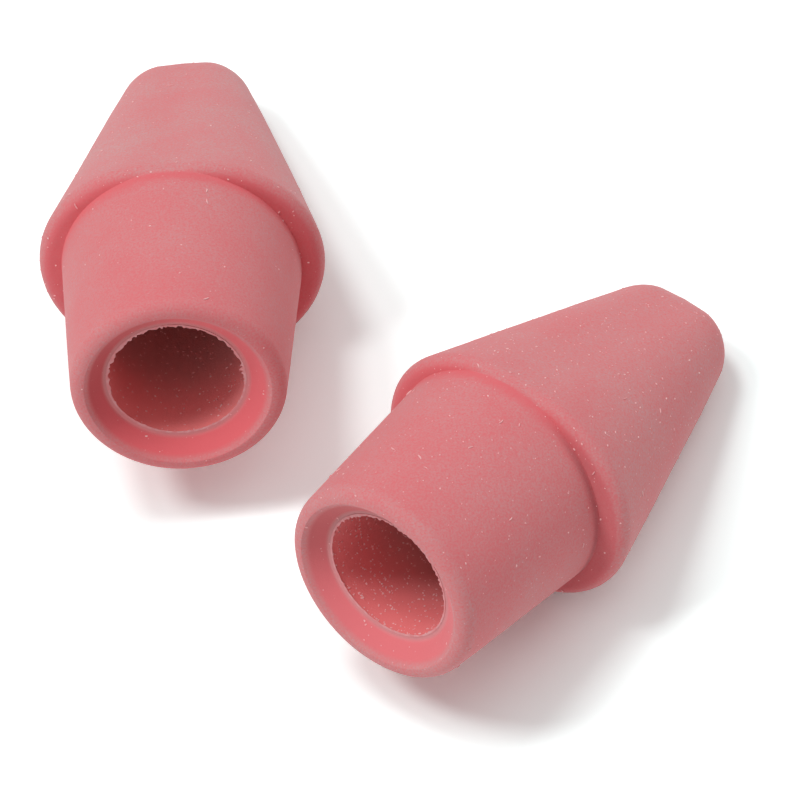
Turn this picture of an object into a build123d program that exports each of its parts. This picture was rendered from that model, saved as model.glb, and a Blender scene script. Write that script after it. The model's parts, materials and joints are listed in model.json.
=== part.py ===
"""A pair of moulded rubber eraser caps for pencils, lying side by side on a table.

Millimetres, +Z up. The origin is on the table, in the middle of the pair's outline.
"""

import os
from math import asin, atan2, cos, hypot, radians, sin

from build123d import *

# Skirt, the round sleeve that grips the pencil
skirt_length = 9.6
mouth_diameter = 10.32
shoulder_diameter = 11.8
mouth_edge_radius = 0.65

# Head, an oval that overhangs the skirt at its sides and tapers to a full-round chisel tip
head_length = 15.4
collar_width = 14.26
collar_thickness = 12.1
collar_edge_radius = 0.42
tip_radius = 2.4

# Socket, the blind hole for the pencil's end, with a tapered lead-in at the mouth
socket_diameter = 6.6
socket_depth = 12.0
lead_in_diameter = 8.4
lead_in_depth = 0.96

# Middles of the two collars on the table, and the way each tip points, in degrees from +X
left_place = (-9.32, 5.144)
left_heading = 85.0
right_place = (4.387, -10.018)
right_heading = 45.05

# The flanks run straight from the collar's widest line and touch the round tip
flat_width = collar_width - collar_thickness
tip_centre = head_length - tip_radius
flank_start = (collar_thickness / 2, collar_edge_radius)
flank_reach = hypot(flank_start[0], tip_centre - flank_start[1])
taper = atan2(flank_start[0], tip_centre - flank_start[1]) - asin(tip_radius / flank_reach)
flank_end = (tip_radius * cos(taper), tip_centre + tip_radius * sin(taper))

# The collar's edge is rounded off in three narrow bands
underside_edge = collar_thickness / 2 - collar_edge_radius
edge_bands = [
    (
        underside_edge + collar_edge_radius * sin(radians(turn)),
        collar_edge_radius - collar_edge_radius * cos(radians(turn)),
    )
    for turn in (0, 20, 60)
]

# Each cap lies on the flat underside of its head, so the head's own taper tilts it tip down
axis_height = flank_start[0] * cos(taper) + flank_start[1] * sin(taper)


def lying_plane(place, heading):
    """Plane of a lying cap's collar: X across the head, Z along the axis towards the tip."""
    turn = radians(heading)
    across = (-sin(turn), cos(turn), 0)
    tip_way = (cos(turn) * cos(taper), sin(turn) * cos(taper), -sin(taper))
    return Plane(origin=(*place, axis_height), x_dir=across, z_dir=tip_way)


def topper(collar):
    """One eraser cap, built on the plane of its collar."""
    axis = Axis(collar.origin, collar.z_dir)
    across = Axis(collar.origin, collar.x_dir)
    lengthwise = Plane(collar.origin, collar.x_dir, -collar.y_dir)
    flat_edge = Plane(collar.origin + collar.x_dir * flat_width / 2, -collar.y_dir, -collar.x_dir)
    mouth = -skirt_length

    with BuildPart() as cap:
        # Head: a half-round side turned about the edge of the flats, half the flats, and the mirror image
        with BuildSketch(flat_edge):
            with BuildLine():
                Polyline(
                    (0, head_length),
                    (0, 0),
                    *edge_bands,
                    flank_start,
                    flank_end,
                )
                TangentArc(flank_end, (0, head_length), tangent=(-sin(taper), cos(taper)))
            make_face()
        revolve(axis=Axis(flat_edge.origin, collar.z_dir), revolution_arc=180)
        extrude(cap.faces().group_by(across)[0], amount=flat_width / 2)
        mirror(about=Plane(collar.origin, z_dir=collar.x_dir))

        # Skirt, run on into the head past the rounding of the collar's edge
        with BuildSketch(lengthwise):
            with BuildLine():
                Polyline(
                    (0, mouth),
                    (mouth_diameter / 2, mouth),
                    (shoulder_diameter / 2, 0),
                    (shoulder_diameter / 2, collar_edge_radius),
                    (0, collar_edge_radius),
                    close=True,
                )
            make_face()
        revolve(axis=axis)
        fillet(cap.edges().group_by(axis)[0], mouth_edge_radius)

        # Socket with its lead-in
        with BuildSketch(lengthwise):
            with BuildLine():
                Polyline(
                    (0, mouth),
                    (lead_in_diameter / 2, mouth),
                    (socket_diameter / 2, mouth + lead_in_depth),
                    (socket_diameter / 2, mouth + socket_depth),
                    (0, mouth + socket_depth),
                    close=True,
                )
            make_face()
        revolve(axis=axis, mode=Mode.SUBTRACT)
    return cap


left_topper = topper(lying_plane(left_place, left_heading))
left_topper.part.label = "left_topper"

right_topper = topper(lying_plane(right_place, right_heading))
right_topper.part.label = "right_topper"

os.makedirs("parts", exist_ok=True)
for cap in (left_topper, right_topper):
    export_step(cap.part, f"parts/{cap.part.label}.step")
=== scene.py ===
"""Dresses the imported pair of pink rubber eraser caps: dusty moulded rubber, torn socket edges and crumbs.

Lengths in the classes are millimetres, because a cap is 25 mm long. Blender's own unit is the metre.
"""

import json
import logging
import math
import random
from collections.abc import Callable, Iterator
from contextlib import contextmanager
from dataclasses import dataclass
from enum import Enum

import bmesh
import bpy
from mathutils import Matrix, Vector
from mathutils.kdtree import KDTree

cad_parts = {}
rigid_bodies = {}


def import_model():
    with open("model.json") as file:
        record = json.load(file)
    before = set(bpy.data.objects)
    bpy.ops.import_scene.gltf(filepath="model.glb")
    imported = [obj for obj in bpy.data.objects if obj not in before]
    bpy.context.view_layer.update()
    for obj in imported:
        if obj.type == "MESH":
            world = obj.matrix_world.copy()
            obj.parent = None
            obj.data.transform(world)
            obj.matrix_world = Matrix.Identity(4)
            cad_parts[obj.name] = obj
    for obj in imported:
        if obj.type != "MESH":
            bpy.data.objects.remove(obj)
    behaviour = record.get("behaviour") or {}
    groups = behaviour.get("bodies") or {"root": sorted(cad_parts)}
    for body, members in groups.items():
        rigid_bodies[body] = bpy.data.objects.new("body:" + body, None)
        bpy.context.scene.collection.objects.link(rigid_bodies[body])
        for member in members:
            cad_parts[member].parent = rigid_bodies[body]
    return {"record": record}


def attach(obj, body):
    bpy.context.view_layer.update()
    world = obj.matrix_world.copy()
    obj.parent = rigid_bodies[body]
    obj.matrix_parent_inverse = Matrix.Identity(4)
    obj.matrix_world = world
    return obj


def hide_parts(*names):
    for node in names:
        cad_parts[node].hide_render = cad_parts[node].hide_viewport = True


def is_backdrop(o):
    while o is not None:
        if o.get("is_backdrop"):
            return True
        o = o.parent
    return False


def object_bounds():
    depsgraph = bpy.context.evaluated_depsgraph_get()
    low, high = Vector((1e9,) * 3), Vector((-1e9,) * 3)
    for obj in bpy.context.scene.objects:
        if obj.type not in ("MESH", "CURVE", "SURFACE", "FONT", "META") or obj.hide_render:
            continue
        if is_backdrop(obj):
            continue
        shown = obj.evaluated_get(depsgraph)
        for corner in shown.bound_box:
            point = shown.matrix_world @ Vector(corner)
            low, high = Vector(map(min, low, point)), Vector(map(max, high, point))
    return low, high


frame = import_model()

LOG = logging.getLogger("eraser_caps")
MM = 0.001

# Vertices nearer than this to each other merge
MERGE_DISTANCE = 1e-4

# Vertices nearer than this to a dividing plane lie on it
PLANE_TOUCH = 1e-3

# Vertex attribute with the place in the drawn cap, before moulding faults and wear
MOULDED = "moulded"

Colour = tuple[float, float, float]
Triple = tuple[float, float, float]
Span = tuple[float, float]
NodeSocket = bpy.types.NodeSocket
Object = bpy.types.Object


class Side(Enum):
    """The two caps, named as they lie in the picture."""

    LEFT = "left"
    RIGHT = "right"

    @property
    def node(self) -> str:
        """Name of the cap's solid in the frame."""
        return f"{self.value}_topper"

    @property
    def body(self) -> str:
        """Name of the body that carries the cap."""
        return f"{self.value}_cap"

    @property
    def slot(self) -> str:
        """Name of the cap's material slot in the record."""
        return f"{self.value}_rubber"

    @property
    def socket(self) -> str:
        """Name of the cap's socket among the record's mounts."""
        return f"{self.value}_socket"


def mesh_object(name: str) -> Object:
    """Names the object that an operator has just added.

    Args:
        name: the piece's name.

    Returns:
        The active object.
    """
    made = bpy.context.object
    made.name = name
    made.data.name = name
    return made


def only(piece: Object) -> None:
    """Makes a piece the one selected and active object.

    Args:
        piece: the object to work on.
    """
    bpy.ops.object.select_all(action="DESELECT")
    piece.select_set(True)
    bpy.context.view_layer.objects.active = piece


@contextmanager
def editing(piece: Object) -> Iterator[None]:
    """Keeps a piece in edit mode, with all of it selected at the start.

    Args:
        piece: the object to edit.

    Returns:
        A context that goes back to object mode at its end.
    """
    only(piece)
    bpy.ops.object.mode_set(mode="EDIT")
    bpy.ops.mesh.select_mode(type="VERT")
    bpy.ops.mesh.select_all(action="SELECT")
    yield
    bpy.ops.object.mode_set(mode="OBJECT")


def select_vertices(piece: Object, wanted: Callable[[Vector], bool]) -> None:
    """Selects the vertices of a piece in edit mode by their place.

    Args:
        piece: the object in edit mode.
        wanted: says for a vertex's place whether it is selected.
    """
    shape = bmesh.from_edit_mesh(piece.data)
    for vertex in shape.verts:
        vertex.select = wanted(vertex.co)
    shape.select_flush_mode()
    bmesh.update_edit_mesh(piece.data)


def apply_modifier(piece: Object, kind: str, **settings: object) -> None:
    """Adds a modifier to a piece and applies it.

    Args:
        piece: the object to change.
        kind: the modifier's type.
        settings: its properties by name.
    """
    only(piece)
    modifier = piece.modifiers.new(kind.lower(), kind)
    for name, value in settings.items():
        setattr(modifier, name, value)
    bpy.ops.object.modifier_apply(modifier=modifier.name)


def put_in_place(piece: Object, place: Matrix) -> None:
    """Moves a piece from the mould's frame to where it lies, with its place in its mesh.

    Args:
        piece: the object, modelled in millimetres on the mould's axes.
        place: the mould's frame in the row frame, in metres.
    """
    only(piece)
    piece.matrix_world = place @ Matrix.Scale(MM, 4)
    bpy.ops.object.transform_apply(location=True, rotation=True, scale=True)


@dataclass(frozen=True)
class Corner:
    """A corner of a half profile, with the radius that rounds it."""

    radius: float
    height: float
    rounding: float = 0.0

    def point(self) -> Vector:
        """The corner as a point across and along the axis."""
        return Vector((self.radius, self.height))


def rounded(corners: list[Corner], steps: int = 8) -> list[Vector]:
    """Replaces the rounded corners of a profile by arcs.

    Args:
        corners: the profile in order.
        steps: how many chords an arc has.

    Returns:
        The profile's points, across and along the axis.
    """
    points = []
    for index, corner in enumerate(corners):
        here = corner.point()
        if not corner.rounding:
            points.append(here)
            continue
        back = (corners[index - 1].point() - here).normalized()
        on = (corners[index + 1].point() - here).normalized()
        half = back.angle(on) / 2
        centre = here + (back + on).normalized() * corner.rounding / math.sin(half)
        first = here + back * corner.rounding / math.tan(half) - centre
        last = here + on * corner.rounding / math.tan(half) - centre
        turn = math.pi - 2 * half
        for step in range(steps + 1):
            share = turn * step / steps
            points.append(centre + (first * math.sin(turn - share) + last * math.sin(share)) / math.sin(turn))
    return points


def subdivided(points: list[Vector], longest: float) -> list[Vector]:
    """Splits the long steps of a profile.

    Args:
        points: the profile in order.
        longest: the longest step that stays whole.

    Returns:
        The profile with more points.
    """
    split = [points[0]]
    for here, there in zip(points, points[1:]):
        pieces = max(1, math.ceil((there - here).length / longest))
        split += [here.lerp(there, piece / pieces) for piece in range(1, pieces + 1)]
    return split


def spun(name: str, profile: list[Vector], steps: int) -> Object:
    """Draws a half profile vertex by vertex and spins it about the Z axis.

    Args:
        name: the piece's name.
        profile: its points, across and along the axis.
        steps: faces in a whole turn.

    Returns:
        The closed solid of revolution.
    """
    bpy.ops.object.select_all(action="DESELECT")
    bpy.ops.mesh.primitive_plane_add()
    made = mesh_object(name)
    with editing(made):
        bpy.ops.mesh.merge(type="CENTER")
        bpy.ops.transform.translate(value=(profile[0].x, 0, profile[0].y))
        for here, there in zip(profile, profile[1:]):
            step = there - here
            bpy.ops.mesh.extrude_vertices_move(TRANSFORM_OT_translate={"value": (step.x, 0, step.y)})
        bpy.ops.mesh.select_all(action="SELECT")
        bpy.ops.mesh.spin(steps=steps, angle=2 * math.pi, center=(0, 0, 0), axis=(0, 0, 1))
        bpy.ops.mesh.select_all(action="SELECT")
        bpy.ops.mesh.remove_doubles(threshold=MERGE_DISTANCE)
        bpy.ops.mesh.normals_make_consistent(inside=False)
    return made


class Graph:
    """A short way to write a material's nodes."""

    def __init__(self, tree: bpy.types.NodeTree) -> None:
        """Starts on an empty node tree."""
        self.tree = tree
        tree.nodes.clear()

    def node(
        self,
        kind: str,
        inputs: dict[str | int, object] | None = None,
        **settings: object,
    ) -> bpy.types.Node:
        """Adds a node.

        Args:
            kind: the node's type.
            inputs: values or sockets for its inputs, by name or number.
            settings: its properties by name.

        Returns:
            The node.
        """
        made = self.tree.nodes.new(kind)
        for name, value in settings.items():
            setattr(made, name, value)
        for name, value in (inputs or {}).items():
            if isinstance(value, NodeSocket):
                self.tree.links.new(value, made.inputs[name])
            else:
                made.inputs[name].default_value = value
        return made

    def math(self, operation: str, *values: object) -> NodeSocket:
        """The result of a math node on values or sockets."""
        return self.node("ShaderNodeMath", dict(enumerate(values)), operation=operation).outputs[0]

    def ramp(self, value: NodeSocket, low: float, high: float) -> NodeSocket:
        """A smooth rise from 0 to 1 as a value goes from low to high, or a fall if high is the lower."""
        span = {"Value": value, "From Min": low, "From Max": high}
        return self.node("ShaderNodeMapRange", span, interpolation_type="SMOOTHSTEP").outputs[0]

    def band(self, value: NodeSocket, low: float, high: float, soft: float) -> NodeSocket:
        """1 where a value lies from low to high, with soft edges."""
        rise = self.ramp(value, low - soft, low + soft)
        return self.both(rise, self.ramp(value, high + soft, high - soft))

    def both(self, first: object, second: object) -> NodeSocket:
        """The product of two values or sockets, such as what two shares have in common."""
        return self.math("MULTIPLY", first, second)

    def noise(self, place: NodeSocket, size: float, detail: float) -> NodeSocket:
        """Cloudy noise with blotches of a size in millimetres."""
        inputs = {"Vector": place, "Scale": 1 / size, "Detail": detail, "Roughness": 0.55}
        return self.node("ShaderNodeTexNoise", inputs).outputs["Fac"]

    def bump(self, height: NodeSocket, strength: float, depth: float) -> NodeSocket:
        """The normal of a surface that a height bumps, to a depth in millimetres."""
        inputs = {"Height": height, "Strength": strength, "Distance": depth * MM}
        return self.node("ShaderNodeBump", inputs).outputs[0]

    def object_place(self) -> NodeSocket:
        """Object coordinates, in millimetres."""
        here = self.node("ShaderNodeTexCoord").outputs["Object"]
        return self.node("ShaderNodeVectorMath", {0: here, "Scale": 1 / MM}, operation="SCALE").outputs[0]

    def mix(self, share: object, first: object, second: object) -> NodeSocket:
        """A mix of two colours."""
        inputs = {"Factor": share, 6: first, 7: second}
        return self.node("ShaderNodeMix", inputs, data_type="RGBA").outputs[2]


def new_material(name: str) -> tuple[bpy.types.Material, Graph]:
    """Adds a node material.

    Args:
        name: the material's name.

    Returns:
        The material and its empty graph.
    """
    made = bpy.data.materials.new(name)
    made.use_nodes = True
    return made, Graph(made.node_tree)


def opaque(colour: Colour) -> tuple[float, float, float, float]:
    """A colour with full alpha."""
    return (*colour, 1.0)


@dataclass(frozen=True)
class RubberFinish:
    """Matt pink rubber with a bloom of pale dust, thickest on the head and thin in the hollows, and painted
    shade in the crease under the collar, on one side of the lead-in and deep in the socket.
    """

    rubber: Colour = (0.76, 0.125, 0.145)
    lead_in_rubber: Colour = (0.80, 0.145, 0.165)
    # Painted shade: the darker colour of the lead-in's side that faces away from the light
    lead_in_painted_shade: Colour = (0.58, 0.095, 0.105)
    socket_rubber: Colour = (0.86, 0.215, 0.22)
    # Painted shade: the darker, greyer colour deep in the socket, where little light gets
    depth_shade: Colour = (0.66, 0.29, 0.28)
    speck: Colour = (0.86, 0.64, 0.64)
    # Painted shade: the dark colour of the crease under the collar, where shade falls
    crease_shade: Colour = (0.34, 0.07, 0.08)
    dust: Colour = (0.57, 0.41, 0.405)
    dust_on_head: float = 0.42
    dust_on_skirt: float = 0.31
    dust_on_rim: float = 0.42
    dust_in_creases: float = 0.10
    dust_on_lip: float = 0.12
    dust_on_ledge: float = 0.38
    cloud_size: float = 3.2
    cloud_least: float = 0.5
    fine_gain: float = 2.6
    fine_least: float = -0.3
    clean_roll: float = 0.8
    crease_shade_share: float = 0.0
    specks: float = 0.6
    speck_spacing: float = 0.26
    speck_fade: Span = (0.17, 0.07)
    speck_chance: Span = (0.45, 0.95)
    roughness: float = 0.82
    grain_size: float = 0.10

    def material(self, name: str, sizes: "CapSizes") -> bpy.types.Material:
        """Makes the material.

        Args:
            name: the material's name.
            sizes: the cap's sizes, which place the zones.

        Returns:
            The node material, reading the place in the drawn cap from its attribute.
        """
        made, graph = new_material(name)
        moulded = graph.node("ShaderNodeAttribute", attribute_name=MOULDED).outputs["Vector"]
        axes = graph.node("ShaderNodeSeparateXYZ", {"Vector": moulded}).outputs
        flat = graph.node("ShaderNodeCombineXYZ", {"X": axes["X"], "Y": axes["Y"]}).outputs[0]
        out = graph.node("ShaderNodeVectorMath", {0: flat}, operation="LENGTH").outputs["Value"]
        place = graph.object_place()

        zones = Zones(graph, sizes, axes["Z"], out, axes["X"], axes["Y"], place)
        colour = graph.mix(zones.lead_in(), opaque(self.rubber), opaque(self.lead_in_rubber))
        # Painted shade on the side of the lead-in that faces away from the light
        colour = graph.mix(zones.shaded_lead_in(), colour, opaque(self.lead_in_painted_shade))
        colour = graph.mix(zones.socket(), colour, opaque(self.socket_rubber))
        # Painted shade darkens and greys the socket towards its blind end
        colour = graph.mix(zones.deep(), colour, opaque(self.depth_shade))
        # Painted shade darkens the crease under the collar on one side
        crease_shade = graph.both(zones.crease_shade(), self.crease_shade_share)
        colour = graph.mix(crease_shade, colour, opaque(self.crease_shade))
        colour = graph.mix(self.dust_share(graph, zones), colour, opaque(self.dust))
        colour = graph.mix(self.speck_share(graph, zones), colour, opaque(self.speck))

        grain = graph.noise(place, self.grain_size, detail=4.0)
        shader = graph.node(
            "ShaderNodeBsdfPrincipled",
            {
                "Base Color": colour,
                "Roughness": self.roughness,
                "Specular IOR Level": 0.3,
                "Sheen Weight": 0.12,
                "Sheen Roughness": 0.5,
                "Normal": graph.bump(grain, strength=0.4, depth=0.04),
            },
        )
        graph.node("ShaderNodeOutputMaterial", {"Surface": shader.outputs[0]})
        return made

    def dust_share(self, graph: Graph, zones: "Zones") -> NodeSocket:
        """How much of the surface the dust hides.

        Args:
            graph: the material's nodes.
            zones: the shares of the cap's zones.

        Returns:
            A share from 0 to 1.
        """
        thin = self.dust_in_creases
        share = graph.math("MULTIPLY_ADD", zones.head(self.clean_roll), self.dust_on_head - thin, thin)
        share = graph.math("MULTIPLY_ADD", zones.skirt(), self.dust_on_skirt - thin, share)
        share = graph.math("MULTIPLY_ADD", zones.rim(), self.dust_on_rim - self.dust_on_skirt, share)
        clouds = graph.noise(zones.place, self.cloud_size, detail=3.0)
        share = graph.both(share, graph.math("ADD", clouds, self.cloud_least))
        fine = graph.noise(zones.place, self.grain_size, detail=3.0)
        share = graph.both(share, graph.math("MULTIPLY_ADD", fine, self.fine_gain, self.fine_least))
        inside = graph.math("MAXIMUM", zones.lead_in(), zones.socket())
        share = graph.both(share, graph.math("SUBTRACT", 1.0, inside))
        share = graph.math("MULTIPLY_ADD", zones.lip(), self.dust_on_lip, share)
        share = graph.math("MULTIPLY_ADD", zones.ledge(), self.dust_on_ledge, share)
        return graph.node("ShaderNodeClamp", {"Value": share}).outputs[0]

    def speck_share(self, graph: Graph, zones: "Zones") -> NodeSocket:
        """Fine pale specks, each in its own cell of a scattered grid and missing from some cells.

        Args:
            graph: the material's nodes.
            zones: the shares of the cap's zones.

        Returns:
            A share from 0 to 1.
        """
        cells = {"Vector": zones.place, "Scale": 1 / self.speck_spacing}
        specks = graph.node("ShaderNodeTexVoronoi", cells, feature="F1").outputs
        dot = graph.ramp(specks["Distance"], *self.speck_fade)
        chance = graph.node("ShaderNodeSeparateColor", {"Color": specks["Color"]}).outputs[0]
        dot = graph.both(dot, graph.ramp(chance, *self.speck_chance))
        return graph.both(dot, self.specks)


@dataclass
class Zones:
    """Shares from 0 to 1 that say which zone of the drawn cap a point of its surface is in.

    A pair of limits says where a share starts and is whole. Three say where a band starts and ends, and how
    soft it is.
    """

    graph: Graph
    sizes: "CapSizes"
    along: NodeSocket
    out: NodeSocket
    across: NodeSocket
    up: NodeSocket
    place: NodeSocket
    crease: Triple = (-0.35, 0.02, 0.25)
    crease_shade_side: Span = (-1.5, -5.0)
    rag: float = 0.5
    roll_on_top: float = 0.4
    roll_start: Span = (0.06, 0.30)
    roll_end: Span = (0.3, 1.0)
    dust_on_roll: float = 0.55
    skirt_start: Span = (-0.05, -0.8)
    worn_from: float = 0.4
    worn_off: float = 0.25
    rim_start: Span = (0.9, 0.4)
    lip_start: Span = (0.20, -0.14)
    past_end: Span = (0.6, 0.3)
    edge_soft: Span = (-0.02, 0.04)
    shaded_way: Span = (0.8, 0.6)
    shaded_side: Span = (0.2, 4.0)
    deep_start: Span = (1.5, 6.0)
    lip_line: Triple = (0.02, 0.16, 0.14)
    lip_height: Span = (0.7, 0.5)
    ledge_line: Triple = (-0.12, 0.04, 0.05)
    ledge_reach: Span = (0.36, 0.1)

    def past(self, height: float, limits: Span) -> NodeSocket:
        """The share that starts and is whole at two distances past a height."""
        return self.graph.ramp(self.along, height + limits[0], height + limits[1])

    def beside(self, radius: float, limits: Span) -> NodeSocket:
        """The share that starts and is whole at two distances out from a radius."""
        return self.graph.ramp(self.out, radius + limits[0], radius + limits[1])

    def crease_shade(self) -> NodeSocket:
        """The crease under the collar on one side, where painted shade darkens it."""
        crease = self.graph.band(self.along, *self.crease)
        return self.graph.both(crease, self.graph.ramp(self.across, *self.crease_shade_side))

    def ragged(self) -> NodeSocket:
        """Height along the axis, made uneven so that zones end raggedly."""
        uneven = self.graph.noise(self.place, size=0.5, detail=3.0)
        lowest = self.graph.math("SUBTRACT", self.along, self.rag / 2)
        return self.graph.math("MULTIPLY_ADD", uneven, self.rag, lowest)

    def head(self, clean_roll: float) -> NodeSocket:
        """The head beyond its collar's clean underside, dusty by half on the roll.

        Args:
            clean_roll: height that the roll reaches at the sides, where it is widest.

        Returns:
            A share from 0 to 1.
        """
        half_width = self.sizes.collar_width / 2
        side = self.graph.math("DIVIDE", self.graph.math("ABSOLUTE", self.across), half_width)
        on_top = clean_roll * self.roll_on_top
        width = self.graph.math("MULTIPLY_ADD", side, clean_roll - on_top, on_top)
        beyond = self.graph.ramp(self.graph.math("DIVIDE", self.ragged(), width), *self.roll_end)
        dusty = self.graph.math("MULTIPLY_ADD", beyond, 1 - self.dust_on_roll, self.dust_on_roll)
        start, whole = (clean_roll * limit for limit in self.roll_start)
        return self.graph.both(dusty, self.graph.ramp(self.along, start, whole))

    def skirt(self) -> NodeSocket:
        """The skirt below the clean crease under the collar, dustiest half-way down.

        Returns:
            A share from 0 to 1.
        """
        worn = self.graph.ramp(self.along, self.sizes.mouth * self.worn_from, self.sizes.mouth)
        kept = self.graph.math("MULTIPLY_ADD", worn, -self.worn_off, 1.0)
        return self.graph.both(self.graph.ramp(self.ragged(), *self.skirt_start), kept)

    def rim(self) -> NodeSocket:
        """The rounded end of the skirt."""
        return self.past(self.sizes.mouth, self.rim_start)

    def inside(self) -> NodeSocket:
        """All that lies within the lip, down to the socket's blind end."""
        within = self.beside(self.sizes.lip_diameter / 2, self.lip_start)
        return self.graph.both(within, self.past(self.sizes.socket_end, self.past_end))

    def socket(self) -> NodeSocket:
        """The socket's wall and blind end."""
        return self.graph.both(self.inside(), self.past(self.sizes.socket_edge, self.edge_soft))

    def lead_in(self) -> NodeSocket:
        """The tapered lead-in between the lip and the socket's edge."""
        return self.graph.both(self.inside(), self.past(self.sizes.socket_edge, self.edge_soft[::-1]))

    def shaded_lead_in(self) -> NodeSocket:
        """The side of the lead-in that is darkened with painted shade, where it faces away from the light.

        Returns:
            A share from 0 to 1.
        """
        across, up = self.shaded_way
        way = self.graph.math("MULTIPLY_ADD", self.up, up, self.graph.both(self.across, across))
        return self.graph.both(self.lead_in(), self.graph.ramp(way, *self.shaded_side))

    def deep(self) -> NodeSocket:
        """The socket's depth, where little dust gets; its colour there is painted shade, darker and greyer
        where little light gets.
        """
        return self.graph.both(self.socket(), self.past(self.sizes.socket_edge, self.deep_start))

    def lip(self) -> NodeSocket:
        """The worn line round the lead-in's outer end.

        Returns:
            A share from 0 to 1.
        """
        lip = self.sizes.lip_diameter / 2
        start, end, soft = self.lip_line
        line = self.graph.band(self.out, lip + start, lip + end, soft)
        return self.graph.both(line, self.past(self.sizes.mouth, self.lip_height))

    def ledge(self) -> NodeSocket:
        """The dusty ledge at the socket's edge.

        Returns:
            A share from 0 to 1.
        """
        edge = self.sizes.socket_edge
        start, end, soft = self.ledge_line
        ring = self.graph.band(self.along, edge + start, edge + end, soft)
        return self.graph.both(ring, self.beside(self.sizes.socket_diameter / 2, self.ledge_reach))


@dataclass(frozen=True)
class CrumbFinish:
    """Pale, dry crumbs and film of the same rubber."""

    pale: Colour = (0.94, 0.62, 0.62)
    pink: Colour = (0.90, 0.42, 0.43)
    roughness: float = 0.9
    blotch: float = 0.35
    blotch_fade: Span = (0.35, 0.65)
    grain_size: float = 0.05

    def material(self, name: str) -> bpy.types.Material:
        """Makes the material.

        Args:
            name: the material's name.

        Returns:
            The node material, paler and pinker in blotches.
        """
        made, graph = new_material(name)
        place = graph.object_place()
        share = graph.ramp(graph.noise(place, self.blotch, detail=3.0), *self.blotch_fade)
        grain = graph.noise(place, self.grain_size, detail=2.0)
        shader = graph.node(
            "ShaderNodeBsdfPrincipled",
            {
                "Base Color": graph.mix(share, opaque(self.pale), opaque(self.pink)),
                "Roughness": self.roughness,
                "Specular IOR Level": 0.2,
                "Normal": graph.bump(grain, strength=0.3, depth=0.01),
            },
        )
        graph.node("ShaderNodeOutputMaterial", {"Surface": shader.outputs[0]})
        return made


class Zone(Enum):
    """Parts of a cap's surface that crumbs cling to."""

    HEAD = "head"
    COLLAR = "collar"
    SKIRT = "skirt"
    LEAD_IN = "lead_in"
    SOCKET = "socket"


@dataclass(frozen=True)
class Litter:
    """How many crumbs and slivers cling to each zone of a cap, and their shapes and sizes.

    A crumb's pull is a seed for its corners and their scale. A sliver's step is its length, bend and swell.
    """

    seed: int
    crumbs: dict[Zone, int]
    slivers: dict[Zone, int]
    crumb_radius: Span = (0.018, 0.045)
    crumb_stretch: Span = (0.8, 2.0)
    crumb_flatness: float = 0.7
    crumb_sunk: float = 0.25
    crumb_pulls: tuple[tuple[int, Triple], ...] = ((3, (1.25, 0.9, 0.8)), (8, (0.8, 1.2, 0.9)))
    pulled_share: float = 0.4
    sliver_scale: Span = (0.5, 0.85)
    sliver_lift: float = 0.02
    sliver_start: float = -0.2
    sliver_steps: tuple[Triple, ...] = (
        (0.08, 0.02, 2.0),
        (0.12, 0.01, 1.1),
        (0.12, -0.01, 0.9),
        (0.08, -0.02, 0.45),
    )
    box_margin: float = 0.12
    past_socket_end: float = 0.2
    past_socket_edge: float = 0.1
    collar_heights: Span = (-0.25, 0.8)


@dataclass(frozen=True)
class TornFilm:
    """The ragged film of flash that stands into the socket at its edge.

    A tear or nibble is a share of the film's points and the scale that draws them towards the axis.
    """

    seed: int
    ragged_above: float
    reach: float = 0.03
    root: float = 0.05
    root_share: float = 0.5
    rise: float = 0.02
    sunk: float = 0.01
    thickness: float = 0.02
    points: int = 210
    tears: tuple[Span, ...] = ((0.50, 0.984), (0.25, 0.985), (0.05, 0.98))
    nibbles: tuple[Span, ...] = ((0.40, 0.995), (0.15, 0.990))
    spikes_deg: tuple[float, ...] = ()
    spike_scale: float = 0.95
    spike_points: float = 0.6


@dataclass
class CapSizes:
    """Sizes of one cap, as the solid has them, and the roundings that only the mesh has."""

    skirt_length: float = 9.6
    mouth_diameter: float = 10.32
    shoulder_diameter: float = 11.8
    mouth_rounding: float = 0.62
    head_length: float = 15.4
    collar_width: float = 14.26
    collar_thickness: float = 12.1
    collar_rounding: float = 0.42
    collar_roll: float = 0.66
    tip_radius: float = 2.4
    crown: float = 0.09
    crown_from: float = 11.0
    crown_bends: tuple[Span, ...] = ((0.0, 4.0), (1.6, 4.0))
    socket_diameter: float = 6.6
    socket_depth: float = 12.0
    socket_end_rounding: float = 0.8
    crest_diameter: float = 8.94
    crest_rounding: float = 0.06
    lip_diameter: float = 8.5
    lead_in_depth: float = 0.96
    ledge_width: float = 0.22
    ledge_drop: float = 0.05
    ledge_rounding: float = 0.08

    @property
    def mouth(self) -> float:
        """Height of the mouth above the collar's plane."""
        return -self.skirt_length

    @property
    def socket_edge(self) -> float:
        """Height of the socket's edge, where the lead-in ends, above the collar's plane."""
        return self.mouth + self.lead_in_depth

    @property
    def socket_end(self) -> float:
        """Height of the socket's blind end above the collar's plane."""
        return self.mouth + self.socket_depth

    @property
    def skirt_draft(self) -> float:
        """How fast the skirt's radius grows from the mouth to the collar."""
        return (self.shoulder_diameter - self.mouth_diameter) / 2 / self.skirt_length

    @property
    def flat_width(self) -> float:
        """Width of the flats on the head's top and underside."""
        return self.collar_width - self.collar_thickness

    @property
    def taper(self) -> float:
        """Angle between the head's flanks and its axis, which run from the collar to touch the round tip."""
        rise = self.head_length - self.tip_radius - self.collar_rounding
        reach = math.hypot(self.collar_thickness / 2, rise)
        return math.atan2(self.collar_thickness / 2, rise) - math.asin(self.tip_radius / reach)

    @property
    def flank_foot(self) -> float:
        """Distance from the axis where a flank, drawn on, would meet the collar's underside."""
        return self.collar_thickness / 2 + self.collar_rounding * math.tan(self.taper)


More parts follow.
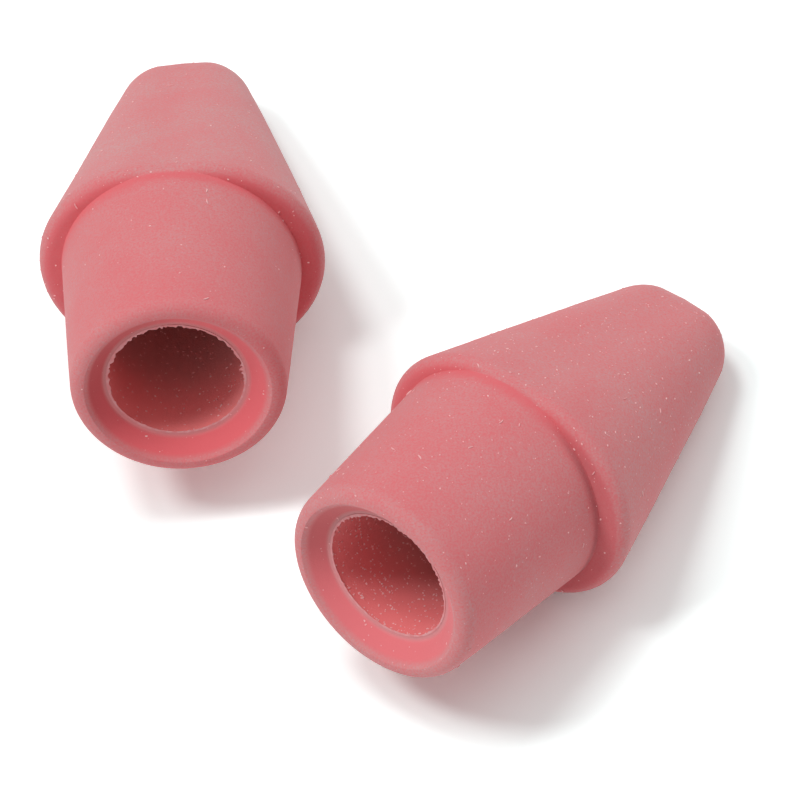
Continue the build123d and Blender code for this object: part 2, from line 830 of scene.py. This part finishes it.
@dataclass(frozen=True)
class Slips:
    """How one moulded cap strays from the drawn shape."""

    collar_slant_deg: float
    skirt_shift: float
    short_mouth: float
    core_shift: float = 0.12
    core_wall: float = 0.2
    core_fade: float = 1.2
    slant_from: float = -0.5
    slant_fade: float = 5.0
    short_from: float = 5.0


@dataclass
class Cap:
    """One eraser cap of moulded rubber."""

    side: Side
    sizes: CapSizes
    slips: Slips
    finish: RubberFinish
    film: TornFilm
    litter: Litter
    film_finish: CrumbFinish = CrumbFinish(pale=(0.76, 0.37, 0.38), pink=(0.74, 0.27, 0.28))
    swells: tuple[tuple[str, float, float], ...] = (("swell", 4.0, 0.03), ("dimple", 0.9, 0.012))
    turn_steps: int = 160
    ring_step: float = 0.35
    hollow_wall: float = 0.4
    hollow_roof: float = 0.5
    overlap: float = 0.4
    sleeve_wall: float = 1.7
    sleeve_roof: float = 1.0
    crease_angle_deg: float = 35.0

    def place(self) -> Matrix:
        """The mould's frame in the row frame: X across the head, Z along the axis to the tip.

        Returns:
            The frame at the middle of the collar, found from the socket in the record.
        """
        socket = next(m for m in frame["record"]["mounts"] if m["name"] == self.side.socket)
        tip_way = -Vector(socket["axis"]).normalized()
        across = Vector((0, 0, 1)).cross(tip_way).normalized()
        wall_middle = (self.sizes.mouth + self.sizes.lead_in_depth + self.sizes.socket_end) / 2
        collar = Vector(socket["pos_m"]) - tip_way * wall_middle * MM
        turn = Matrix((across, tip_way.cross(across), tip_way)).transposed()
        return Matrix.Translation(collar) @ turn.to_4x4()

    def moulded(self) -> Object:
        """Models the cap in the mould's frame, in millimetres.

        Returns:
            The head and the sleeve as one closed mesh.
        """
        cap = self.head()
        sleeve = self.sleeve()
        apply_modifier(cap, "BOOLEAN", operation="UNION", object=sleeve, solver="EXACT")
        bpy.data.objects.remove(sleeve)
        with editing(cap):
            bpy.ops.mesh.remove_doubles(threshold=MERGE_DISTANCE)
        bpy.ops.object.shade_smooth_by_angle(angle=math.radians(self.crease_angle_deg))
        return cap

    def head(self) -> Object:
        """Spins the head, hollow below, and draws its two halves apart for the flats.

        Returns:
            The head as a closed solid.
        """
        s = self.sizes
        hollow = s.socket_diameter / 2 + self.hollow_wall
        roof = s.socket_end + self.hollow_roof
        tip = s.flank_foot - s.head_length * math.tan(s.taper)
        corners = [
            Corner(0, roof),
            Corner(hollow, roof),
            Corner(hollow, 0),
            Corner(s.flank_foot, 0, s.collar_roll),
            Corner(tip, s.head_length, s.tip_radius),
            Corner(0, s.head_length),
        ]
        profile = subdivided(rounded(corners, steps=12), self.ring_step)
        made = spun(f"{self.side.value}_rubber_cap", profile, self.turn_steps)
        with editing(made):
            rings = self.rings(made, profile)
            for way in (-1, 1):
                select_vertices(made, lambda place, way=way: place.x * way > PLANE_TOUCH)
                bpy.ops.transform.translate(value=(way * s.flat_width / 2, 0, 0))
            for point, ring in zip(profile, rings):
                if point.y < self.slips.slant_fade:
                    self.select_ring(made, ring)
                    slant = self.slips.collar_slant_deg * (1 - point.y / self.slips.slant_fade)
                    self.tilt_selected(slant, (0, 0, point.y))
                if point.y > s.crown_from:
                    self.crown_ring(made, ring, point.y)
        return made

    def tilt_selected(self, turn_deg: float, middle: tuple[float, float, float]) -> None:
        """Tilts the selection of a piece in edit mode, so that it rises towards +X."""
        bpy.ops.transform.rotate(value=math.radians(turn_deg), orient_axis="Y", center_override=middle)

    def crown_ring(self, head: Object, ring: list[int], height: float) -> None:
        """Lifts a ring near the tip in the middle and bends it down to both sides.

        Args:
            head: the head in edit mode.
            ring: the ring's vertex numbers.
            height: its height above the collar's plane.
        """
        s = self.sizes
        share = (height - s.crown_from) / (s.head_length - s.crown_from)
        self.select_ring(head, ring)
        bpy.ops.transform.translate(value=(0, 0, s.crown * share))
        for start, bend_deg in s.crown_bends:
            for way in (-1, 1):
                edge = start + PLANE_TOUCH
                self.select_ring(head, ring, lambda place, way=way, edge=edge: place.x * way > edge)
                self.tilt_selected(-way * bend_deg * share, (way * start, 0, height + s.crown * share))

    def sleeve(self) -> Object:
        """Spins the sleeve: skirt, rounded mouth, lip, lead-in, ledge and socket, closed inside the head.

        Returns:
            The sleeve as a closed cup.
        """
        s = self.sizes
        bore = s.socket_diameter / 2
        wall = bore + self.sleeve_wall
        roof = s.socket_end + self.sleeve_roof
        corners = [
            Corner(0, roof),
            Corner(wall, roof),
            Corner(wall, self.overlap),
            Corner(s.shoulder_diameter / 2 + s.skirt_draft * self.overlap, self.overlap),
            Corner(s.mouth_diameter / 2, s.mouth, s.mouth_rounding),
            Corner(s.crest_diameter / 2, s.mouth, s.crest_rounding),
            Corner(bore + s.ledge_width, s.socket_edge - s.ledge_drop, s.ledge_rounding),
            Corner(bore, s.socket_edge),
            Corner(bore, s.socket_end, s.socket_end_rounding),
            Corner(0, s.socket_end),
        ]
        profile = subdivided(rounded(corners), self.ring_step)
        made = spun("sleeve", profile, self.turn_steps)
        with editing(made):
            for point, ring in zip(profile, self.rings(made, profile)):
                self.select_ring(made, ring)
                bpy.ops.transform.translate(value=self.stray(point.x, point.y))
        return made

    def rings(self, piece: Object, profile: list[Vector]) -> list[list[int]]:
        """Sorts the vertices of a spun piece in edit mode by the profile point that they come from.

        Args:
            piece: the object in edit mode.
            profile: the points that it was spun from.

        Returns:
            Vertex numbers for each point of the profile.
        """
        tree = KDTree(len(profile))
        for number, point in enumerate(profile):
            tree.insert((point.x, point.y, 0), number)
        tree.balance()
        found: list[list[int]] = [[] for _ in profile]
        for vertex in bmesh.from_edit_mesh(piece.data).verts:
            number = tree.find((vertex.co.xy.length, vertex.co.z, 0))[1]
            found[number].append(vertex.index)
        return found

    def select_ring(
        self,
        piece: Object,
        ring: list[int],
        wanted: Callable[[Vector], bool] = lambda place: True,
    ) -> None:
        """Selects one ring's vertices of a piece in edit mode.

        Args:
            piece: the object in edit mode.
            ring: the ring's vertex numbers.
            wanted: says for a vertex's place whether it is selected.
        """
        shape = bmesh.from_edit_mesh(piece.data)
        shape.verts.ensure_lookup_table()
        for vertex in shape.verts:
            vertex.select = False
        for index in ring:
            shape.verts[index].select = wanted(shape.verts[index].co)
        shape.select_flush_mode()
        bmesh.update_edit_mesh(piece.data)

    def stray(self, out: float, along: float) -> Vector:
        """How far a ring of the sleeve strays from its drawn place.

        Args:
            out: the ring's radius.
            along: its height above the collar's plane.

        Returns:
            The move that takes it there.
        """
        s, slips = self.sizes, self.slips
        past_wall = (out - s.socket_diameter / 2 - slips.core_wall) / slips.core_fade
        inner = 1 - min(max(past_wall, 0), 1)
        across = slips.skirt_shift * (1 - along / s.mouth) + slips.core_shift * inner
        up = slips.short_mouth * max(0.0, -along - slips.short_from) / (s.skirt_length - slips.short_from)
        return Vector((across, 0, up))

    def drawn_place(self, place: Vector) -> Vector:
        """Where a point of the moulded cap lies in the drawn shape, without the slips.

        Args:
            place: the point in the mould's frame.

        Returns:
            The same point of the drawn shape.
        """
        along, across = place.z, place.x
        if place.z < self.sizes.socket_end:
            move = self.stray(math.hypot(place.x, place.y), place.z)
            across -= move.x
            along -= move.z
        if self.slips.slant_from < place.z < self.slips.slant_fade:
            fade = 1 - place.z / self.slips.slant_fade
            along -= place.x * math.tan(math.radians(self.slips.collar_slant_deg) * fade)
        return Vector((across, place.y, along))

    def weather(self, cap: Object) -> None:
        """Gives a placed cap the slight unevenness of soft rubber, inwards only.

        Args:
            cap: the cap's mesh, where it lies.
        """
        for name, blotch, depth in self.swells:
            texture = bpy.data.textures.new(f"{self.side.value}_{name}", "CLOUDS")
            texture.noise_scale = blotch * MM
            texture.noise_depth = 2
            apply_modifier(
                cap,
                "DISPLACE",
                texture=texture,
                texture_coords="LOCAL",
                strength=depth * MM,
                mid_level=1.0,
            )

    def torn_edge(self) -> Object:
        """Models the film of flash: a ring at the socket's edge, drawn inwards and torn.

        Returns:
            The film in the mould's frame.
        """
        s, film = self.sizes, self.film
        bore = s.socket_diameter / 2
        bpy.ops.object.select_all(action="DESELECT")
        bpy.ops.mesh.primitive_circle_add(vertices=film.points, radius=bore + film.root)
        made = mesh_object(f"{self.side.value}_torn_edge")
        inner = bore + film.root * film.root_share
        near = math.cos(math.radians(360 / film.points * film.spike_points))
        with editing(made):
            bpy.ops.mesh.extrude_region_move(TRANSFORM_OT_translate={"value": (0, 0, film.rise)})
            self.draw_in((bore - film.reach) / (bore + film.root))
            cuts = [(cut, film.ragged_above) for cut in film.tears] + [(cut, -bore) for cut in film.nibbles]
            for number, ((share, scale), above) in enumerate(cuts):
                bpy.ops.mesh.select_all(action="DESELECT")
                bpy.ops.mesh.select_random(ratio=share, seed=film.seed + number)
                self.keep_selected(made, lambda at, above=above: at.xy.length < inner and at.y > above)
                self.draw_in(scale)
            for turn in map(math.radians, film.spikes_deg):
                spot = Vector((math.cos(turn), math.sin(turn)))
                select_vertices(
                    made,
                    lambda at, spot=spot: at.xy.length < inner and at.xy.normalized().dot(spot) > near,
                )
                self.draw_in(film.spike_scale)
            bpy.ops.mesh.select_all(action="SELECT")
            edge = Vector((0, 0, s.socket_edge - film.sunk)) + self.stray(bore, s.socket_edge)
            bpy.ops.transform.translate(value=edge)
        apply_modifier(made, "SOLIDIFY", thickness=film.thickness, offset=0.0)
        return made

    def draw_in(self, scale: float) -> None:
        """Draws the selection of a piece in edit mode towards the axis."""
        bpy.ops.transform.resize(value=(scale, scale, 1), center_override=(0, 0, 0))

    def keep_selected(self, piece: Object, wanted: Callable[[Vector], bool]) -> None:
        """Deselects the vertices of a piece in edit mode that aren't wanted.

        Args:
            piece: the object in edit mode.
            wanted: says for a vertex's place whether it may stay selected.
        """
        shape = bmesh.from_edit_mesh(piece.data)
        for vertex in shape.verts:
            vertex.select = vertex.select and wanted(vertex.co)
        shape.select_flush_mode()
        bmesh.update_edit_mesh(piece.data)

    def crumb(self) -> Object:
        """Models one crumb, a lump with a few corners pulled about.

        Returns:
            The crumb, of unit radius.
        """
        bpy.ops.object.select_all(action="DESELECT")
        bpy.ops.mesh.primitive_ico_sphere_add(subdivisions=1, radius=1.0)
        made = mesh_object("crumb")
        with editing(made):
            for seed, scale in self.litter.crumb_pulls:
                bpy.ops.mesh.select_all(action="DESELECT")
                bpy.ops.mesh.select_random(ratio=self.litter.pulled_share, seed=seed)
                bpy.ops.transform.resize(value=scale, center_override=(0, 0, 0))
        return made

    def sliver(self) -> Object:
        """Models one sliver, a thin rolled shred of rubber that curves and thins to its ends.

        Returns:
            The sliver at its size, lying along X.
        """
        bpy.ops.object.select_all(action="DESELECT")
        upright = (0, math.pi / 2, 0)
        bpy.ops.mesh.primitive_circle_add(vertices=5, radius=0.02, fill_type="NGON", rotation=upright)
        made = mesh_object("sliver")
        bpy.ops.object.transform_apply(location=False, rotation=True, scale=False)
        with editing(made):
            bpy.ops.transform.translate(value=(self.litter.sliver_start, 0, 0))
            for step, bend, swell in self.litter.sliver_steps:
                bpy.ops.mesh.extrude_region_move(TRANSFORM_OT_translate={"value": (step, bend, 0)})
                bpy.ops.transform.resize(value=(1, swell, swell), center_override=self.middle(made))
            bpy.ops.mesh.select_all(action="SELECT")
            bpy.ops.mesh.normals_make_consistent(inside=False)
        return made

    def middle(self, piece: Object) -> Vector:
        """The middle of the selected vertices of a piece in edit mode."""
        chosen = [vertex.co for vertex in bmesh.from_edit_mesh(piece.data).verts if vertex.select]
        return sum(chosen, Vector()) / len(chosen)

    def zone(self, place: Vector) -> Zone:
        """Tells the zone that a point of the drawn cap's surface is in.

        Args:
            place: the point in the mould's frame.

        Returns:
            The zone.
        """
        s, litter = self.sizes, self.litter
        if place.xy.length < s.lip_diameter / 2 and place.z < s.socket_end + litter.past_socket_end:
            return Zone.SOCKET if place.z > s.socket_edge + litter.past_socket_edge else Zone.LEAD_IN
        if litter.collar_heights[0] < place.z < litter.collar_heights[1]:
            return Zone.COLLAR
        return Zone.HEAD if place.z > 0 else Zone.SKIRT

    def scattered(self, cap: Object, box: tuple[Vector, Vector]) -> Object:
        """Strews crumbs and slivers over a placed cap.

        Args:
            cap: the cap's mesh, where it lies, with its drawn places.
            box: the box of the solids, which they stay within.

        Returns:
            All of them as one piece.
        """
        draw = random.Random(self.litter.seed)
        drawn = cap.data.attributes[MOULDED].data
        faces: dict[Zone, list[bpy.types.MeshPolygon]] = {zone: [] for zone in Zone}
        margin = self.litter.box_margin * MM
        for face in sorted(cap.data.polygons, key=lambda face: tuple(face.center)):
            middle = face.center
            if all(low + margin < value < high - margin for low, value, high in zip(box[0], middle, box[1])):
                corners = [drawn[index].vector for index in face.vertices]
                faces[self.zone(sum(corners, Vector()) / len(corners))].append(face)
        copies = []
        for shape, counts in ((self.crumb(), self.litter.crumbs), (self.sliver(), self.litter.slivers)):
            for zone, count in counts.items():
                areas = [face.area for face in faces[zone]]
                for face in draw.choices(faces[zone], areas, k=count):
                    copies.append(self.laid(shape, cap, face, draw))
            bpy.data.objects.remove(shape)
        bpy.ops.object.select_all(action="DESELECT")
        for copy in copies:
            copy.select_set(True)
        bpy.context.view_layer.objects.active = copies[0]
        bpy.ops.object.join()
        bpy.ops.object.transform_apply(location=True, rotation=True, scale=True)
        return mesh_object(f"{self.side.value}_crumbs")

    def laid(
        self,
        shape: Object,
        cap: Object,
        face: bpy.types.MeshPolygon,
        draw: random.Random,
    ) -> Object:
        """Lays a copy of a crumb or sliver on a face of the cap, turned at random and a little sunk.

        Args:
            shape: the crumb of unit radius, or the sliver at its size.
            cap: the cap's mesh, where it lies.
            face: the face to lie on.
            draw: the seeded source of chance.

        Returns:
            The copy, with its own mesh.
        """
        corners = sorted((cap.data.vertices[index].co for index in face.vertices), key=tuple)
        shares = [draw.random() for _ in corners]
        spot = sum((corner * share for corner, share in zip(corners, shares)), Vector()) / sum(shares)
        if shape.name.startswith("crumb"):
            radius = draw.uniform(*self.litter.crumb_radius)
            height = radius * self.litter.crumb_flatness
            size = Vector((radius * draw.uniform(*self.litter.crumb_stretch), radius, height))
            lift = height * (1 - 2 * self.litter.crumb_sunk)
        else:
            size = Vector((1, 1, 1)) * draw.uniform(*self.litter.sliver_scale)
            lift = self.litter.sliver_lift
        up = face.normal.to_track_quat("Z", "Y").to_matrix().to_4x4()
        turn = Matrix.Rotation(draw.uniform(0, 2 * math.pi), 4, "Z")
        copy = shape.copy()
        copy.data = shape.data.copy()
        bpy.context.scene.collection.objects.link(copy)
        place = Matrix.Translation(spot + face.normal * lift * MM)
        copy.matrix_world = place @ up @ turn @ Matrix.Diagonal((*(size * MM), 1))
        return copy

    def build(self, box: tuple[Vector, Vector]) -> list[Object]:
        """Models, places, weathers and dresses the cap, its torn edge and its crumbs.

        Args:
            box: the box of the solids.

        Returns:
            The finished pieces.
        """
        cap = self.moulded()
        places = [value for vertex in cap.data.vertices for value in self.drawn_place(vertex.co)]
        layer = cap.data.attributes.new(MOULDED, "FLOAT_VECTOR", "POINT")
        layer.data.foreach_set("vector", places)
        put_in_place(cap, self.place())
        self.weather(cap)
        cap.data.materials.clear()
        cap.data.materials.append(self.finish.material(f"{self.side.value}_dusty_rubber", self.sizes))
        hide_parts(self.side.node)
        film = self.torn_edge()
        put_in_place(film, self.place())
        crumbs = self.scattered(cap, box)
        for piece, finish in ((film, self.film_finish), (crumbs, CrumbFinish())):
            piece.data.materials.clear()
            piece.data.materials.append(finish.material(f"{piece.name}_rubber"))
        pieces = [cap, film, crumbs]
        for piece in pieces:
            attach(piece, self.side.body)
        return pieces


@dataclass(frozen=True)
class Lamp:
    """A broad lamp, far off, so that its light is the same all over the table."""

    name: str
    azimuth_deg: float
    elevation_deg: float
    strength: float
    spread_deg: float = 50.0

    def build(self) -> None:
        """Adds the lamp, with its azimuth turned from +X towards +Y."""
        lamp = bpy.data.lights.new(self.name, "SUN")
        lamp.energy = self.strength
        lamp.angle = math.radians(self.spread_deg)
        hung = bpy.data.objects.new(self.name, lamp)
        azimuth, rise = math.radians(self.azimuth_deg), math.radians(self.elevation_deg)
        level = math.cos(rise)
        towards = Vector((math.cos(azimuth) * level, math.sin(azimuth) * level, math.sin(rise)))
        hung.rotation_mode = "QUATERNION"
        hung.rotation_quaternion = towards.to_track_quat("Z", "Y")
        bpy.context.scene.collection.objects.link(hung)


@dataclass
class Studio:
    """White table, soft light from above and from the left, even fill, and the picture's camera."""

    lamps: tuple[Lamp, ...] = (
        Lamp("skylight", 90.0, 89.5, 0.38),
        Lamp("window", 170.0, 59.0, 0.92, 14.0),
        Lamp("back_window", 142.0, 72.0, 0.76, 14.0),
        Lamp("far_wall", 30.0, 34.0, 0.58),
        Lamp("card", 236.0, 14.0, 0.54, 60.0),
    )
    fill: float = 0.28
    floor_colour: Colour = (0.91, 0.945, 0.94)
    floor_lift: Colour = (0.31, 0.405, 0.40)
    floor_size: float = 3000.0
    floor_drop: float = 0.02
    camera_distance: float = 241.92
    camera_nearest: float = 10.0
    camera_elevation_deg: float = 55.49
    camera_roll_deg: float = -8.93
    camera_target: tuple[float, float, float] = (0.236, -0.494, 0.0)
    lens: float = 220.58
    sensor: float = 36.0

    def build(self) -> None:
        """Adds the floor, the lights, the world and the camera."""
        self.floor()
        for lamp in self.lamps:
            lamp.build()
        self.world()
        self.camera()
        bpy.context.scene.view_settings.view_transform = "Standard"

    def seen_directly(self, graph: Graph) -> NodeSocket:
        """Tells what is shown from what only lights the object.

        Args:
            graph: the material's nodes.

        Returns:
            1 for what the camera, a mirror or a clear part shows, and 0 otherwise.
        """
        path = graph.node("ShaderNodeLightPath").outputs
        seen = graph.math("MAXIMUM", path["Is Camera Ray"], path["Is Glossy Ray"])
        return graph.math("MAXIMUM", seen, path["Is Transmission Ray"])

    def floor(self) -> None:
        """Lays the white table, just under the caps."""
        bpy.ops.object.select_all(action="DESELECT")
        bpy.ops.mesh.primitive_plane_add(size=self.floor_size * MM, location=(0, 0, -self.floor_drop * MM))
        floor = mesh_object("table")
        finish, graph = new_material("white_table")
        diffuse = graph.node("ShaderNodeBsdfDiffuse", {"Color": opaque(self.floor_colour)}).outputs[0]
        lift = graph.mix(self.seen_directly(graph), opaque((0, 0, 0)), opaque(self.floor_lift))
        lighter = graph.node("ShaderNodeBsdfDiffuse", {"Color": lift}).outputs[0]
        both = graph.node("ShaderNodeAddShader", {0: diffuse, 1: lighter}).outputs[0]
        graph.node("ShaderNodeOutputMaterial", {"Surface": both})
        floor.data.materials.append(finish)
        floor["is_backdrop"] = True

    def world(self) -> None:
        """Fills the room with even light and shows white behind the table."""
        world = bpy.data.worlds.new("white_room")
        world.use_nodes = True
        graph = Graph(world.node_tree)
        light = graph.node("ShaderNodeBackground", {"Strength": self.fill}).outputs[0]
        white = graph.node("ShaderNodeBackground", {"Color": opaque((1, 1, 1)), "Strength": 1.0}).outputs[0]
        either = {0: self.seen_directly(graph), 1: light, 2: white}
        shown = graph.node("ShaderNodeMixShader", either).outputs[0]
        graph.node("ShaderNodeOutputWorld", {"Surface": shown})
        bpy.context.scene.world = world

    def camera(self) -> None:
        """Sets up the camera at the picture's angle, turned a little about its own axis."""
        lens = bpy.data.cameras.new("camera")
        lens.lens = self.lens
        lens.sensor_width = self.sensor
        lens.clip_start = self.camera_nearest * MM
        camera = bpy.data.objects.new("camera", lens)
        rise = math.radians(self.camera_elevation_deg)
        back = Vector((0, -math.cos(rise), math.sin(rise)))
        right = Vector((1, 0, 0))
        level = Matrix((right, back.cross(right), back)).transposed()
        turned = Matrix.Rotation(math.radians(self.camera_roll_deg), 3, back) @ level
        spot = (Vector(self.camera_target) + back * self.camera_distance) * MM
        camera.matrix_world = Matrix.Translation(spot) @ turned.to_4x4()
        bpy.context.scene.collection.objects.link(camera)
        bpy.context.scene.camera = camera


def main() -> None:
    """Builds the caps and the studio."""
    logging.basicConfig(level=logging.INFO, format="%(name)s: %(message)s")
    cad_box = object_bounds()
    sizes = CapSizes()
    slips = {
        Side.LEFT: Slips(collar_slant_deg=1.9, skirt_shift=0.0, short_mouth=0.22),
        Side.RIGHT: Slips(collar_slant_deg=0.5, skirt_shift=0.18, short_mouth=0.0),
    }
    films = {
        Side.LEFT: TornFilm(seed=11, ragged_above=-0.5, spikes_deg=(175.0, 179.0)),
        Side.RIGHT: TornFilm(seed=23, ragged_above=1.2),
    }
    litters = {
        Side.LEFT: Litter(
            seed=5,
            crumbs={Zone.HEAD: 150, Zone.COLLAR: 60, Zone.SKIRT: 45, Zone.LEAD_IN: 8, Zone.SOCKET: 1000},
            slivers={Zone.HEAD: 2, Zone.COLLAR: 2, Zone.SKIRT: 4},
        ),
        Side.RIGHT: Litter(
            seed=9,
            crumbs={Zone.HEAD: 420, Zone.COLLAR: 36, Zone.SKIRT: 150, Zone.LEAD_IN: 12, Zone.SOCKET: 2800},
            slivers={Zone.HEAD: 5, Zone.COLLAR: 3, Zone.SKIRT: 26},
        ),
    }
    finishes = {
        Side.LEFT: RubberFinish(socket_rubber=(0.92, 0.25, 0.25), dust_on_rim=0.36, specks=0.25),
        Side.RIGHT: RubberFinish(
            lead_in_rubber=(0.78, 0.185, 0.205),
            lead_in_painted_shade=(0.60, 0.135, 0.145),
            dust_on_head=0.35,
            clean_roll=0.45,
            crease_shade_share=0.6,
        ),
    }
    for side in Side:
        cap = Cap(side, sizes, slips[side], finishes[side], films[side], litters[side])
        for piece in cap.build(cad_box):
            LOG.info("%s has %d faces", piece.name, len(piece.data.polygons))
    Studio().build()


if __name__ == "__main__":
    main()
